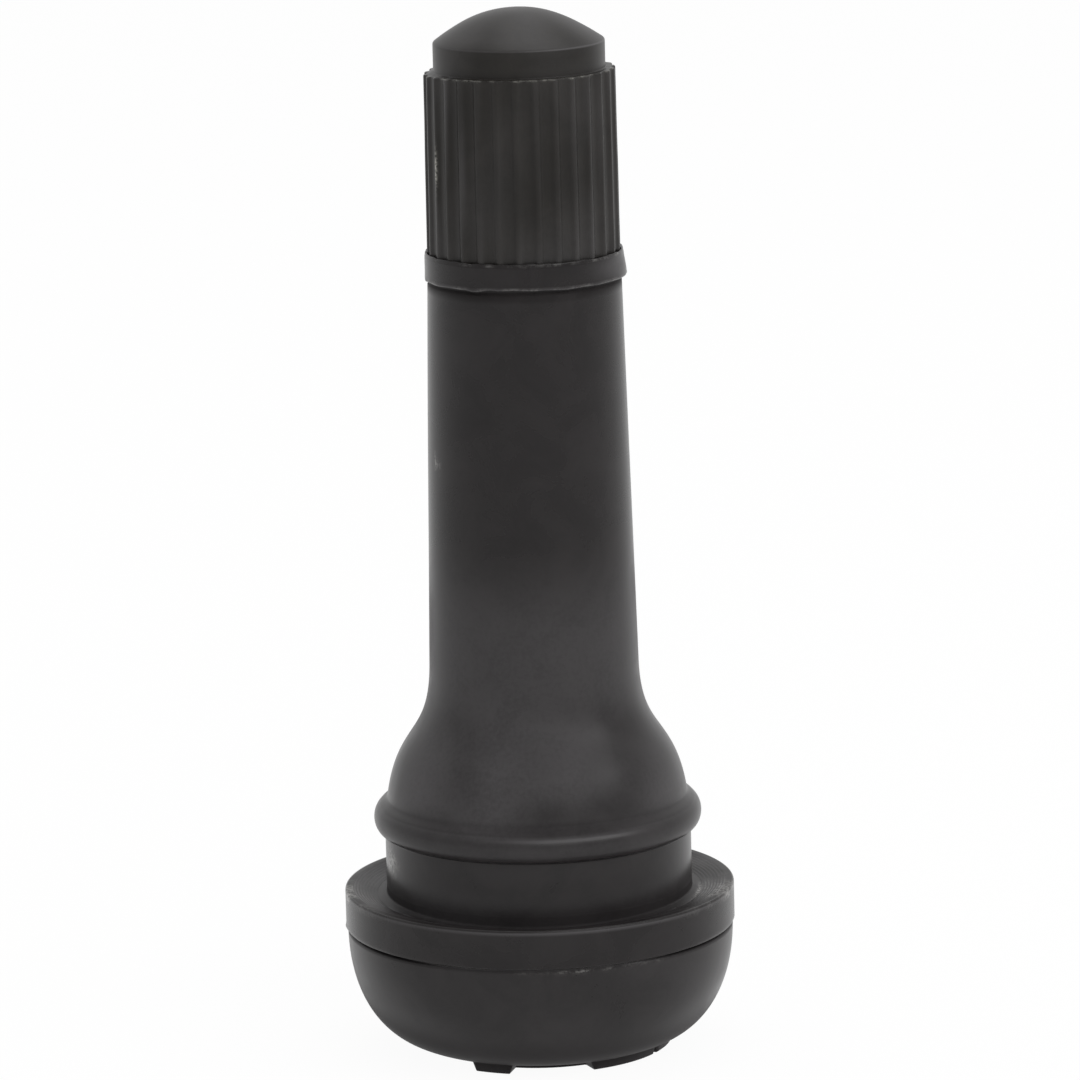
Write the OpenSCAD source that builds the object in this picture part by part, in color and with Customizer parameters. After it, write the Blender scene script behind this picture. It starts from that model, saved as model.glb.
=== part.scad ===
// Snap-in tyre valve: a rubber-covered brass stem with a screw-in valve core and a ribbed dust cap.
// Millimetres, +Z up along the stem. The origin is the centre of the plane that the base's feet stand on.

/* [Rubber base] */
// Diameter of the bowl just below the parting line
base_d = 19.32; // [18:0.01:21]
// How far the band above the parting line stands proud of the bowl
parting_step = 0.09; // [0.02:0.01:0.15]
// Height of the parting line above the feet
parting_h = 6.23; // [5:0.01:7.5]
// Height of the band from the parting line to the sealing lip
band_h = 1.96; // [1.5:0.01:2.6]
// Diameter of the flat underside
base_flat_d = 11; // [10:0.1:12]
// Fullness of the bowl, where 2 is a plain ellipse
bowl_power = 2.19; // [1.8:0.01:2.8]
// Radius of the lip's outer edge
lip_round = 0.22; // [0.1:0.01:0.35]
// Width of the narrow flat land on the lip
lip_land = 0.15; // [0.1:0.01:0.3]
// Fall of the dished face from the lip to the bevel at the neck
dish_depth = 0.37; // [0.2:0.01:0.6]
// Width of the bevel between the dished face and the neck
bevel_w = 0.5; // [0.3:0.01:0.7]
// Rise of that bevel
bevel_h = 0.14; // [0.05:0.01:0.25]
// Height of the feet
foot_h = 0.32; // [0.2:0.01:0.5]
// How far the short foot reaches out past the flat underside
foot_w = 1.12; // [0.8:0.01:1.6]
// Angle that the short foot spans
foot_span = 17.2; // [12:0.1:24]
// Angle of the short foot from the front
foot_phase = -22.9; // [-30:0.1:-15]
// How far the long feet reach out past the flat underside
long_foot_w = 1; // [0.6:0.01:1.5]
// Radial width of the inner foot at the front
inner_foot_w = 0.55; // [0.4:0.01:0.8]

/* [Rim groove] */
// Diameter of the neck that fills the rim hole
neck_d = 15.3; // [14.8:0.1:16]
// Height of the groove from the lip to the bead
groove_h = 2.86; // [2.3:0.01:3.6]
// How far the retaining bead stands out from the neck
bead_proud = 0.535; // [0.35:0.005:0.8]
// Height of the retaining bead
bead_h = 1.48; // [1.2:0.01:1.8]
// Share of the bulb's curve that the hollow above the bead takes up
hollow_share = 0.03; // [0.02:0.01:0.1]

/* [Rubber stem] */
// How far the foot of the bulb is set in from the neck
bulb_inset = 0.11; // [0:0.01:0.3]
// Height of the bulb from the bead to the tapered body
bulb_h = 6.83; // [5.5:0.01:8]
// Height of the tapered body from the bulb to the collar
body_h = 19.65; // [16:0.05:30]
// Thickness of the rubber over the brass at the top of the body
rubber_wall = 0.95; // [0.7:0.01:1.2]
// How much wider the body's radius is at its foot
body_taper = 0.42; // [0.2:0.01:0.7]
// Height of the collar below the cap
collar_h = 1.21; // [1:0.01:1.6]
// How far the collar's lower edge stands out from the body
collar_proud = 0.16; // [0.1:0.01:0.3]
// How much the collar narrows up to its top
collar_draft = 0.05; // [0.02:0.01:0.08]
// Radius of the collar's upper edge
collar_round = 0.16; // [0.08:0.01:0.3]

/* [Brass stem] */
// Height of the bare threaded tip above the collar
tip_h = 8.28; // [7.6:0.01:10]
// Wall between the outer thread and the core's thread
tip_wall = 1.2; // [0.9:0.01:1.5]
// Chamfer at the tip
tip_chamfer = 0.45; // [0.2:0.05:0.7]
// Length of thread that runs on below the collar, under the rubber
thread_tail = 3; // [1:0.1:5]
// How far the shank is set in from the thread
shank_inset = 0.45; // [0.3:0.01:0.7]
// Width of the foot flange beyond the shank
flange_w = 1.1; // [0.8:0.05:1.6]
// Thickness of the foot flange
flange_h = 1; // [0.7:0.05:1.4]
// Number of grip rings on the shank
barb_count = 5; // [2:1:6]
// Distance between grip rings
barb_pitch = 4; // [3:0.1:4.4]
// How far a grip ring stands out from the shank
barb_proud = 0.4; // [0.2:0.01:0.6]
// Depth of the air inlet in the base below the brass
inlet_depth = 3.7; // [3:0.05:4.5]
// How much wider the inlet's radius is than the air bore
inlet_step = 0.55; // [0.3:0.01:0.8]

/* [Valve core] */
// Diameter of the valve pin
pin_d = 1; // [0.8:0.05:1.3]
// Diameter of the spring wire
wire_d = 0.3; // [0.2:0.01:0.36]
// Number of turns of the spring
spring_turns = 6; // [5:1:7]
// Length of the spring as fitted
spring_h = 3.6; // [3.3:0.05:4]
// Wall of the barrel round the spring chamber
barrel_wall = 0.35; // [0.25:0.01:0.5]
// Length of the barrel below the gasket's lower lip
barrel_tube_h = 2.76; // [2.2:0.01:3.4]
// Thickness of the barrel's floor under the spring
barrel_floor_h = 1.6; // [1.2:0.05:2]
// How far the gasket's upper flange stands out from the barrel
barrel_flange_w = 0.6; // [0.4:0.01:0.7]
// Thickness of the gasket's upper flange
barrel_flange_h = 0.35; // [0.25:0.01:0.5]
// How far the gasket's lower lip stands out from the barrel
barrel_lip_w = 0.22; // [0.1:0.01:0.32]
// Thickness of the gasket's lower lip
barrel_lip_h = 0.3; // [0.2:0.01:0.5]
// Length of the barrel's neck between its flange and the plug
barrel_neck_h = 0.55; // [0.4:0.01:0.8]
// How far the barrel's head stands out inside the plug
head_w = 0.35; // [0.2:0.01:0.45]
// Height of the barrel's head
head_h = 0.9; // [0.6:0.01:1.2]
// Height of the tapered gasket
gasket_h = 1.3; // [1:0.01:1.6]
// Slope of the seat from the axis, in degrees
seat_slope = 16; // [12:0.5:20]
// Depth of the plug's top below the stem's tip
plug_drop = 1.3; // [1:0.05:1.8]
// Height of the bridge across the plug's top
bridge_h = 1.2; // [0.9:0.05:1.6]
// Width of the bridge
bridge_w = 1.7; // [1.5:0.05:2]
// Height of the plug's threaded ring
plug_ring_h = 2.7; // [2.3:0.05:3.2]
// Height of the plug's lip that is turned in under the barrel's head
crimp_h = 0.2; // [0.12:0.01:0.3]
// Depth of the pin's top below the stem's tip
pin_drop = 0.4; // [0.2:0.05:0.8]
// How far the pin's spring collar stands out
pin_collar_w = 0.45; // [0.36:0.01:0.55]
// Thickness of the pin's spring collar
pin_collar_h = 0.4; // [0.25:0.01:0.6]
// Thickness of the plunger's sealing ring
plunger_seal_h = 0.45; // [0.3:0.01:0.6]
// How far the sealing ring stands above its cup
plunger_seal_proud = 0.1; // [0.05:0.01:0.2]
// Thickness of the cup's floor
cup_floor_h = 0.6; // [0.4:0.01:0.9]
// Wall of the cup round the sealing ring
cup_wall = 0.2; // [0.12:0.01:0.3]
// How far the pin's riveted end spreads under the cup
rivet_w = 0.3; // [0.15:0.01:0.45]
// Height of the pin's riveted end
rivet_h = 0.3; // [0.2:0.01:0.5]

/* [Dust cap] */
// Wall of the cap from its thread to the rib crests
cap_wall = 0.87; // [0.7:0.01:1.2]
// How much the cap's radius narrows up to the ledge
cap_draft = 0.055; // [0:0.005:0.12]
// Number of grip ribs
rib_count = 30; // [18:1:36]
// Share of the rib pitch that the crest takes up
rib_share = 0.23; // [0.18:0.01:0.5]
// Angle that each flank of a rib takes up
rib_flank = 1.6; // [0.6:0.1:2]
// Depth of the grooves between the ribs
rib_depth = 0.16; // [0.1:0.01:0.3]
// Angle of the rib nearest the front
rib_phase = -2.5; // [-6:0.1:6]
// Height of the ledge above the stem's tip
ledge_rise = 0.79; // [0.6:0.01:1.2]
// Width of the ledge
ledge_w = 0.49; // [0.35:0.01:0.7]
// Height of the plain band above the ledge
crown_band_h = 1.375; // [1:0.005:1.8]
// Height of the dome
dome_h = 1.65; // [1.2:0.01:2.2]
// Roundness of the dome, where 1 is a plain parabola and less flares its edge
dome_round = 0.83; // [0.6:0.01:1]
// Thickness of the crown
crown_wall = 1.2; // [0.9:0.05:1.5]
// Thickness of the cap's washer
washer_h = 0.95; // [0.7:0.01:1.2]
// Width of the washer's ring
washer_w = 0.9; // [0.6:0.01:1.1]

/* [Clearances] */
// Between the rubber and the brass that it is moulded on
bond_gap = 0.02; // [0.01:0.01:0.05]
// Between flat faces that seat on each other
seat_gap = 0.02; // [0.01:0.01:0.05]
// Between round faces that fit each other in the core
fit_gap = 0.02; // [0.01:0.01:0.05]
// Between the gasket and its seat
seal_gap = 0.03; // [0.02:0.01:0.06]
// Between the cap's thread and the stem's
cap_thread_gap = 0.05; // [0.03:0.01:0.1]
// Between the plug's thread and the stem's
core_thread_gap = 0.05; // [0.03:0.01:0.1]
// Between the barrel's head and the plug that swivels on it
swivel_gap = 0.08; // [0.05:0.01:0.12]
// Between the pin and the hole in the bridge
pin_gap = 0.1; // [0.06:0.01:0.2]
// Between the pin and the air passage through the barrel's floor
floor_gap = 0.2; // [0.15:0.01:0.3]
// Between the pin and the inside of the spring
spring_in_gap = 0.2; // [0.15:0.01:0.3]
// Between the spring and the wall of its chamber
spring_out_gap = 0.15; // [0.1:0.01:0.25]
// Between the barrel and the air bore round it
bore_gap = 0.45; // [0.4:0.01:0.6]
// Between the cap's lower edge and the collar
cap_gap = 0.05; // [0.03:0.01:0.15]

/* [Hidden] */
$fn = 96;

// Steps of a curve in a turned outline
curve_steps = 18;
round_steps = 10;
// Reach of a cutter past the face that it opens
cut = 0.5;
// Small edge breaks on turned and moulded pieces
small_edge = 0.12;
collar_edge = 0.05;
bore_edge = 0.25;
// Centre and span of each long foot, in degrees from the front
long_feet = [[40.5, 36.5], [73, 24], [148, 56], [235, 56]];
// Centre and span of the inner foot, and how far it is set in from the edge of the flat underside
inner_foot = [4.5, 43];
inner_foot_inset = 0.05;
// How far the other feet reach in under the flat underside
foot_inset = 0.2;
// Angle on the bead's half ellipse where the hollow above it starts, and the pulls of the hollow's ends
hollow_a = 60;
hollow_pull = 0.2;
// How far the ends of the bulb's curve pull towards each other, as shares of its height
bulb_foot_pull = [-0.07, 0.58];
bulb_top_pull = [0.017, -0.55];

rubber_colour = "#2f2e2e";
plastic_colour = "#33322f";
brass_colour = "#b8944c";
steel_colour = "#a5a6a8";
seal_colour = "#d9d4c6";
soft_seal_colour = "#3a2f2c";

// Heights of the rubber, from the feet up
lip_z = parting_h + band_h;
bead_z = lip_z + groove_h;
bulb_z = bead_z + bead_h;
body_z = bulb_z + bulb_h;
collar_z = body_z + body_h;
collar_top = collar_z + collar_h;
tip_z = collar_top + tip_h;
stem_z = foot_h + inlet_depth;

// Heights of the core, from the tip down
plug_top = tip_z - plug_drop;
ring_top = plug_top - bridge_h;
plug_z = ring_top - plug_ring_h;
head_z = plug_z + crimp_h + swivel_gap;
head_top = head_z + head_h;
barrel_flange_top = plug_z - barrel_neck_h;
barrel_flange_z = barrel_flange_top - barrel_flange_h;
gasket_top = barrel_flange_z - seat_gap;
gasket_z = gasket_top - gasket_h;
barrel_lip_top = gasket_z - seat_gap;
barrel_lip_z = barrel_lip_top - barrel_lip_h;
barrel_z = barrel_lip_z - barrel_tube_h;
spring_z = barrel_z + barrel_floor_h;
pin_collar_z = spring_z + spring_h;
pin_top = tip_z - pin_drop;
plunger_seal_top = barrel_z - seat_gap;
plunger_seal_z = plunger_seal_top - plunger_seal_h;
cup_top = plunger_seal_top - plunger_seal_proud;
cup_floor = plunger_seal_z - seat_gap;
cup_z = cup_floor - cup_floor_h;
pin_z = cup_z - rivet_h;

// How far the conical seat runs past the gasket, and the shoulder from the seat out to the core's thread
seat_lead = 0.1;
seat_shoulder = 0.27;
// How far the bridge is set in from the plug's thread
bridge_inset = 0.3;

// Radii from the pin outwards
pin_r = pin_d / 2;
wire_r = wire_d / 2;
spring_r = pin_r + spring_in_gap + wire_r;
chamber_r = spring_r + wire_r + spring_out_gap;
barrel_r = chamber_r + barrel_wall;
head_r = barrel_r + head_w;
bore_r = barrel_r + bore_gap;
seat_z = gasket_z - seat_lead;
seat_top = gasket_top + seat_lead;
core_thread_r = seat_radius(seat_top) + seat_shoulder;
plug_r = core_thread_r - core_thread_gap;
plug_bore_r = barrel_r - swivel_gap;
bridge_r = plug_r - bridge_inset;
thread_r = core_thread_r + tip_wall;
shank_r = thread_r - shank_inset;
inlet_r = bore_r + inlet_step;
cup_r = barrel_r + cup_wall;
plunger_seal_r = cup_r - cup_wall - fit_gap;

// Radii of the rubber
base_r = base_d / 2;
band_r = base_r + parting_step;
base_flat_r = base_flat_d / 2;
foot_in_r = base_flat_r - foot_inset;
inner_foot_r = base_flat_r - inner_foot_inset;
neck_r = neck_d / 2;
body_top_r = thread_r + rubber_wall;
body_foot_r = body_top_r + body_taper;

// Insets of the washer from the thread and of the crown's recess from the washer, and the pocket's overlap
washer_inset = 0.15;
recess_inset = 0.05;
pocket_overlap = 0.2;

// Sizes of the cap
cap_z = collar_top + cap_gap;
cap_bore_r = thread_r + cap_thread_gap;
crest_r = cap_bore_r + cap_wall;
crest_top_r = crest_r - cap_draft;
ledge_z = tip_z + ledge_rise;
crown_r = crest_top_r - ledge_w;
crown_z = ledge_z + crown_band_h;
washer_z = tip_z + seat_gap;
washer_r = thread_r - washer_inset;
pocket_z = tip_z - pocket_overlap;
pocket_r = washer_r + fit_gap;
pocket_top = washer_z + washer_h + seat_gap;
recess_r = washer_r - washer_w - recess_inset;

// The conical seat's radius at a height
function seat_radius(z) = bore_r + (z - seat_z) * tan(seat_slope);

// The dome's height at a radius, above the plain band
function dome_rise(r) =
    dome_h * (dome_round * (1 - pow(r / crown_r, 2)) + (1 - dome_round) * (1 + cos(180 * r / crown_r)) / 2);

// Points of a quarter of the bowl, from the flat underside up to the parting line
function bowl_points() = [
    for (i = [0 : curve_steps])
        let (a = 90 * i / curve_steps)
        [base_flat_r + (base_r - base_flat_r) * pow(sin(a), 2 / bowl_power),
         parting_h - (parting_h - foot_h) * pow(cos(a), 2 / bowl_power)]
];

// A point of the bead's half ellipse at an angle
function bead_point(a) = [neck_r + bead_proud * cos(a), bead_z + bead_h * (1 + sin(a)) / 2];

// Points of the bead, from its foot up to where the hollow starts
function bead_points() = [
    for (i = [0 : round_steps])
        bead_point(-90 + (90 + hollow_a) * i / round_steps)
];

// Points of the collar: a thin lower edge, a drafted side and a rounded top
function collar_points() = [
    [body_top_r, collar_z],
    [body_top_r + collar_proud - collar_edge, collar_z],
    [body_top_r + collar_proud, collar_z + collar_edge],
    for (i = [0 : round_steps])
        let (a = 90 * i / round_steps)
        let (r = body_top_r + collar_proud - collar_draft - collar_round)
        [r + collar_round * cos(a), collar_top - collar_round + collar_round * sin(a)]
];

// A point of a cubic curve
function curve_point(a, b, c, d, t) =
    pow(1 - t, 3) * a + 3 * pow(1 - t, 2) * t * b + 3 * (1 - t) * t * t * c + t * t * t * d;

// A point of the bulb's double curve, where t is 0 at the bead and 1 at the body
function bulb_point(t) =
    let (foot = [neck_r - bulb_inset, bulb_z])
    let (top = [body_foot_r, body_z])
    let (foot_pull = foot + bulb_foot_pull * bulb_h)
    let (top_pull = top + bulb_top_pull * bulb_h)
    curve_point(foot, foot_pull, top_pull, top, t);

// Points of the bulb, from the hollow above the bead up to the body
function bulb_points() = [
    for (i = [0 : curve_steps])
        bulb_point(hollow_share + (1 - hollow_share) * i / curve_steps)
];

// Points of the hollow that blends the bead into the bulb, without its ends
function hollow_points() =
    let (start = bead_point(hollow_a))
    let (end = bulb_point(hollow_share))
    let (start_pull = start + hollow_pull * [-cos(hollow_a), sin(hollow_a)])
    let (end_pull = end - [0, hollow_pull])
    [for (i = [1 : round_steps - 1]) curve_point(start, start_pull, end_pull, end, i / round_steps)];

// Points of the lip, its land, the dish and the bevel at the neck
function lip_points() = [
    [band_r, lip_z - lip_round],
    for (i = [1 : 4])
        [band_r - lip_round + lip_round * cos(22.5 * i), lip_z - lip_round + lip_round * sin(22.5 * i)],
    [band_r - lip_round - lip_land, lip_z],
    [neck_r + bevel_w, lip_z - dish_depth],
    [neck_r, lip_z - dish_depth + bevel_h]
];

// Outline of the brass stem's outside, grown by a gap, from its foot to a height
function stem_points(gap, top) = [
    [shank_r + flange_w + gap, stem_z - gap],
    [shank_r + flange_w + gap, stem_z + flange_h + gap],
    [shank_r + gap, stem_z + flange_h + flange_w + gap],
    for (i = [0 : barb_count - 1])
        let (z = stem_z + flange_h + flange_w + barb_pitch * (i + 0.5))
        each [[shank_r + gap, z],
              [shank_r + barb_proud + gap, z + barb_proud],
              [shank_r + barb_proud + gap, z + 2 * barb_proud],
              [shank_r + gap, z + 4 * barb_proud]],
    [shank_r + gap, collar_z - thread_tail - shank_inset],
    [thread_r + gap, collar_z - thread_tail],
    [thread_r + gap, top]
];

// A foot on the underside, as an arc with a broken lower edge, rooted in the bowl
module foot(centre, span, foot_in_r, foot_out_r) {
    root_z = parting_h / 4;
    rotate([0, 0, -90 + centre - span / 2])
        rotate_extrude(angle = span)
            polygon([
                [foot_in_r + small_edge, 0],
                [foot_out_r - small_edge, 0],
                [foot_out_r, small_edge],
                [foot_out_r, root_z],
                [foot_in_r, root_z],
                [foot_in_r, small_edge]
            ]);
}

module rubber_body() {
    color(rubber_colour)
    difference() {
        union() {
            rotate_extrude()
                polygon([
                    [0, foot_h],
                    each bowl_points(),
                    [band_r, parting_h],
                    each lip_points(),
                    each bead_points(),
                    each hollow_points(),
                    each bulb_points(),
                    each collar_points(),
                    [0, collar_top]
                ]);
            foot(foot_phase, foot_span, foot_in_r, base_flat_r + foot_w);
            for (f = long_feet)
                foot(f[0], f[1], foot_in_r, base_flat_r + long_foot_w);
            foot(inner_foot[0], inner_foot[1], inner_foot_r - inner_foot_w, inner_foot_r);
        }
        rotate_extrude()
            polygon([
                [0, stem_z - bond_gap],
                each stem_points(bond_gap, collar_top + cut),
                [0, collar_top + cut]
            ]);
        translate([0, 0, foot_h - cut]) cylinder(r = inlet_r, h = inlet_depth + cut);
    }
}

module brass_stem() {
    color(brass_colour)
    difference() {
        rotate_extrude()
            polygon([
                [0, stem_z],
                each stem_points(0, tip_z - tip_chamfer),
                [thread_r - tip_chamfer, tip_z],
                [0, tip_z]
            ]);
        translate([0, 0, stem_z - cut]) cylinder(r = bore_r, h = seat_z - stem_z + 2 * cut);
        translate([0, 0, seat_z])
            cylinder(r1 = bore_r, r2 = seat_radius(seat_top), h = seat_top - seat_z);
        translate([0, 0, seat_top]) cylinder(r = core_thread_r, h = tip_z - seat_top + cut);
        translate([0, 0, tip_z - bore_edge])
            cylinder(r1 = core_thread_r, r2 = core_thread_r + 2 * bore_edge, h = 2 * bore_edge);
    }
}

// The cap's outside without its ribs: the groove floors, the ledge, the plain band and the dome
module cap_core() {
    rotate_extrude()
        polygon([
            [0, cap_z],
            [crest_r - rib_depth, cap_z],
            [crest_top_r - rib_depth, ledge_z],
            [crown_r, ledge_z],
            [crown_r, crown_z - small_edge],
            for (i = [0 : curve_steps])
                let (r = (crown_r - small_edge / 2) * (1 - i / curve_steps))
                [r, crown_z + dome_rise(r)]
        ]);
}

// Half the angle of a rib at a radius: its flanks spread below the crest
function rib_half(r) = 180 * rib_share / rib_count + rib_flank * (crest_r - r) / rib_depth;

function rib_corner(r, a) = [r * cos(a), r * sin(a)];

// The grip ribs, as a star whose crests are cut to the cap's draft
module cap_ribs() {
    root_r = crest_r - 1.5 * rib_depth;
    far_r = crest_r + rib_depth / 2;
    intersection() {
        rotate_extrude()
            polygon([
                [0, cap_z],
                [crest_r - small_edge, cap_z],
                [crest_r, cap_z + small_edge],
                [crest_top_r, ledge_z - small_edge],
                [crest_top_r - small_edge, ledge_z],
                [0, ledge_z]
            ]);
        translate([0, 0, cap_z])
            linear_extrude(height = ledge_z - cap_z)
                rotate(-90 + rib_phase)
                    polygon([
                        for (i = [0 : rib_count - 1])
                            let (a = 360 * i / rib_count)
                            each [rib_corner(root_r, a - rib_half(root_r)),
                                  rib_corner(far_r, a - rib_half(far_r)),
                                  rib_corner(far_r, a + rib_half(far_r)),
                                  rib_corner(root_r, a + rib_half(root_r))]
                    ]);
    }
}

module dust_cap() {
    color(plastic_colour)
    difference() {
        union() {
            cap_core();
            cap_ribs();
        }
        translate([0, 0, cap_z - cut]) cylinder(r = cap_bore_r, h = pocket_z - cap_z + cut);
        translate([0, 0, cap_z - bore_edge])
            cylinder(r1 = cap_bore_r + 2 * bore_edge, r2 = cap_bore_r, h = 2 * bore_edge);
        translate([0, 0, pocket_z - cut]) cylinder(r = pocket_r, h = pocket_top - pocket_z + cut);
        rotate_extrude()
            polygon([
                [0, pocket_top - cut],
                [recess_r, pocket_top - cut],
                for (i = [0 : round_steps])
                    let (r = recess_r * (1 - i / round_steps))
                    [r, crown_z + dome_rise(r) - crown_wall]
            ]);
    }
}

module cap_seal() {
    color(soft_seal_colour)
    difference() {
        translate([0, 0, washer_z]) cylinder(r = washer_r, h = washer_h);
        translate([0, 0, washer_z - cut]) cylinder(r = washer_r - washer_w, h = washer_h + 2 * cut);
    }
}

module core_plug() {
    color(brass_colour)
    difference() {
        union() {
            rotate_extrude()
                polygon([
                    [plug_bore_r, plug_z],
                    [plug_r - small_edge, plug_z],
                    [plug_r, plug_z + small_edge],
                    [plug_r, ring_top - small_edge],
                    [plug_r - small_edge, ring_top],
                    [plug_bore_r, ring_top]
                ]);
            intersection() {
                translate([-plug_r, -bridge_w / 2, ring_top - bridge_h / 3])
                    cube([2 * plug_r, bridge_w, bridge_h * 4 / 3]);
                translate([0, 0, ring_top - bridge_h])
                    cylinder(r = bridge_r, h = 2 * bridge_h);
            }
        }
        translate([0, 0, plug_z - cut]) cylinder(r = barrel_r + swivel_gap, h = crimp_h + 2 * cut);
        translate([0, 0, plug_z + crimp_h])
            cylinder(r = head_r + swivel_gap, h = head_h + 2 * swivel_gap);
        translate([0, 0, plug_z]) cylinder(r = pin_r + pin_gap, h = plug_top - plug_z + cut);
    }
}

module core_barrel() {
    color(brass_colour)
    difference() {
        rotate_extrude()
            polygon([
                [0, barrel_z],
                [barrel_r - small_edge, barrel_z],
                [barrel_r, barrel_z + small_edge],
                [barrel_r, barrel_lip_z],
                [barrel_r + barrel_lip_w, barrel_lip_z],
                [barrel_r + barrel_lip_w, barrel_lip_top],
                [barrel_r, barrel_lip_top],
                [barrel_r, barrel_flange_z],
                [barrel_r + barrel_flange_w, barrel_flange_z],
                [barrel_r + barrel_flange_w, barrel_flange_top],
                [barrel_r, barrel_flange_top],
                [barrel_r, head_z],
                [head_r, head_z],
                [head_r, head_top - small_edge],
                [head_r - small_edge, head_top],
                [0, head_top]
            ]);
        translate([0, 0, spring_z]) cylinder(r = chamber_r, h = head_top - spring_z + cut);
        translate([0, 0, barrel_z - cut]) cylinder(r = pin_r + floor_gap, h = barrel_floor_h + 2 * cut);
    }
}

module barrel_gasket() {
    color(seal_colour)
    rotate_extrude()
        polygon([
            [barrel_r + fit_gap, gasket_z],
            [seat_radius(gasket_z) - seal_gap, gasket_z],
            [seat_radius(gasket_top) - seal_gap, gasket_top],
            [barrel_r + fit_gap, gasket_top]
        ]);
}

module core_pin() {
    color(brass_colour)
    rotate_extrude()
        polygon([
            [0, pin_z],
            [pin_r + rivet_w - small_edge, pin_z],
            [pin_r + rivet_w, pin_z + small_edge],
            [pin_r + rivet_w, cup_z - seat_gap],
            [pin_r, cup_z - seat_gap],
            [pin_r, pin_collar_z],
            [pin_r + pin_collar_w, pin_collar_z],
            [pin_r + pin_collar_w, pin_collar_z + pin_collar_h],
            [pin_r, pin_collar_z + pin_collar_h],
            [pin_r, pin_top - small_edge],
            [pin_r - small_edge, pin_top],
            [0, pin_top]
        ]);
}

// A wire wound on a helix, with a closed turn at each end
module core_spring() {
    wire_sides = 8;
    turn_steps = 16;
    rings = spring_turns * turn_steps;
    rise = spring_h - 2 * seat_gap - wire_d;
    open_pitch = (rise - 2 * wire_d) / (spring_turns - 2);
    function coil_z(t) =
        t < 1 ? t * wire_d :
        t > spring_turns - 1 ? rise - (spring_turns - t) * wire_d :
        wire_d + (t - 1) * open_pitch;
    points = [
        for (i = [0 : rings], k = [0 : wire_sides - 1])
            let (turn = i / turn_steps)
            let (a = 360 * turn)
            let (b = 360 * k / wire_sides)
            let (r = spring_r + wire_r * cos(b))
            [r * cos(a), r * sin(a), spring_z + seat_gap + wire_r + coil_z(turn) + wire_r * sin(b)]
    ];
    sides = [
        for (i = [0 : rings - 1], k = [0 : wire_sides - 1])
            let (next = (k + 1) % wire_sides)
            [i * wire_sides + k, (i + 1) * wire_sides + k,
             (i + 1) * wire_sides + next, i * wire_sides + next]
    ];
    first_end = [for (k = [0 : wire_sides - 1]) k];
    last_end = [for (k = [wire_sides - 1 : -1 : 0]) rings * wire_sides + k];
    color(steel_colour)
        polyhedron(points = points, faces = concat(sides, [first_end, last_end]));
}

module plunger_cup() {
    color(brass_colour)
    difference() {
        translate([0, 0, cup_z]) cylinder(r = cup_r, h = cup_top - cup_z);
        translate([0, 0, cup_floor]) cylinder(r = cup_r - cup_wall, h = cup_top - cup_floor + cut);
        translate([0, 0, cup_z - cut]) cylinder(r = pin_r + fit_gap, h = cup_floor_h + 2 * cut);
    }
}

module plunger_seal() {
    color(soft_seal_colour)
    difference() {
        translate([0, 0, plunger_seal_z]) cylinder(r = plunger_seal_r, h = plunger_seal_h);
        translate([0, 0, plunger_seal_z - cut])
            cylinder(r = pin_r + fit_gap, h = plunger_seal_h + 2 * cut);
    }
}

rubber_body();
brass_stem();
dust_cap();
cap_seal();
core_plug();
core_barrel();
barrel_gasket();
core_pin();
core_spring();
plunger_cup();
plunger_seal();
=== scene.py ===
"""A snap-in tyre valve: the moulded rubber, the cap, the stem and the core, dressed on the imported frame."""
import math

import bpy
import numpy as np
from mathutils import Matrix, Vector


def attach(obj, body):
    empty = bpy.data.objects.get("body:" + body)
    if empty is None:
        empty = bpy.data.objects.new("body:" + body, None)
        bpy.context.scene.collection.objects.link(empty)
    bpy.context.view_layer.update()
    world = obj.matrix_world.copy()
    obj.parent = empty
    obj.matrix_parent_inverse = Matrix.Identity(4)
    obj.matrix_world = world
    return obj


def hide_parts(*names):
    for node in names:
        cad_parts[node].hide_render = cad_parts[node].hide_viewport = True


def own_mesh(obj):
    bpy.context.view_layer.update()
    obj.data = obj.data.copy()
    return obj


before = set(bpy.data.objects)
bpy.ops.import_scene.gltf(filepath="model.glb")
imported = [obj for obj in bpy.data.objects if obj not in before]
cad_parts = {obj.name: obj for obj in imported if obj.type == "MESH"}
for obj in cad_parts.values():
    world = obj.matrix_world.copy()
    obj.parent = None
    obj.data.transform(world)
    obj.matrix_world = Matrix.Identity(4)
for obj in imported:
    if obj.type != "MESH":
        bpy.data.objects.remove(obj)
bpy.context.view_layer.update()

# Sizes are in millimetres unless a name or comment says otherwise, and the solids' sizes repeat their source.
MM = 0.001

# Rubber moulding
FOOT_H = 0.32
BASE_FLAT_R = 5.5
BASE_R = 9.66
BAND_R = 9.75
PARTING_Z = 6.23
PARTING_LOW = PARTING_Z - 0.2
BOWL_POWER = 2.19
LIP_Z = 8.19
LIP_ROUND = 0.22
LAND_R = 9.38
BEVEL_R = 8.15
DISH_Z = LIP_Z - 0.37
BEVEL_H = 0.14
NECK_R = 7.65
BEAD_Z = 11.05
BEAD_H = 1.48
BEAD_PROUD = 0.535
HOLLOW_A = math.radians(60)
HOLLOW_SHARE = 0.03
HOLLOW_PULL = 0.2
BULB_Z = 12.53
BULB_R = 7.54
BULB_H = 6.83
BULB_FOOT_PULL = (-0.07, 0.58)
BULB_TOP_PULL = (0.017, -0.55)
BODY_Z = 19.36
BODY_FOOT_R = 5.22
BODY_TOP_R = 4.80
COLLAR_Z = 39.01
COLLAR_TOP = 40.22
COLLAR_R = 4.96
COLLAR_TOP_R = 4.91
COLLAR_SQUEEZE = 40.255
INLET_R = 2.5
BOND_GAP = 0.02
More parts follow.
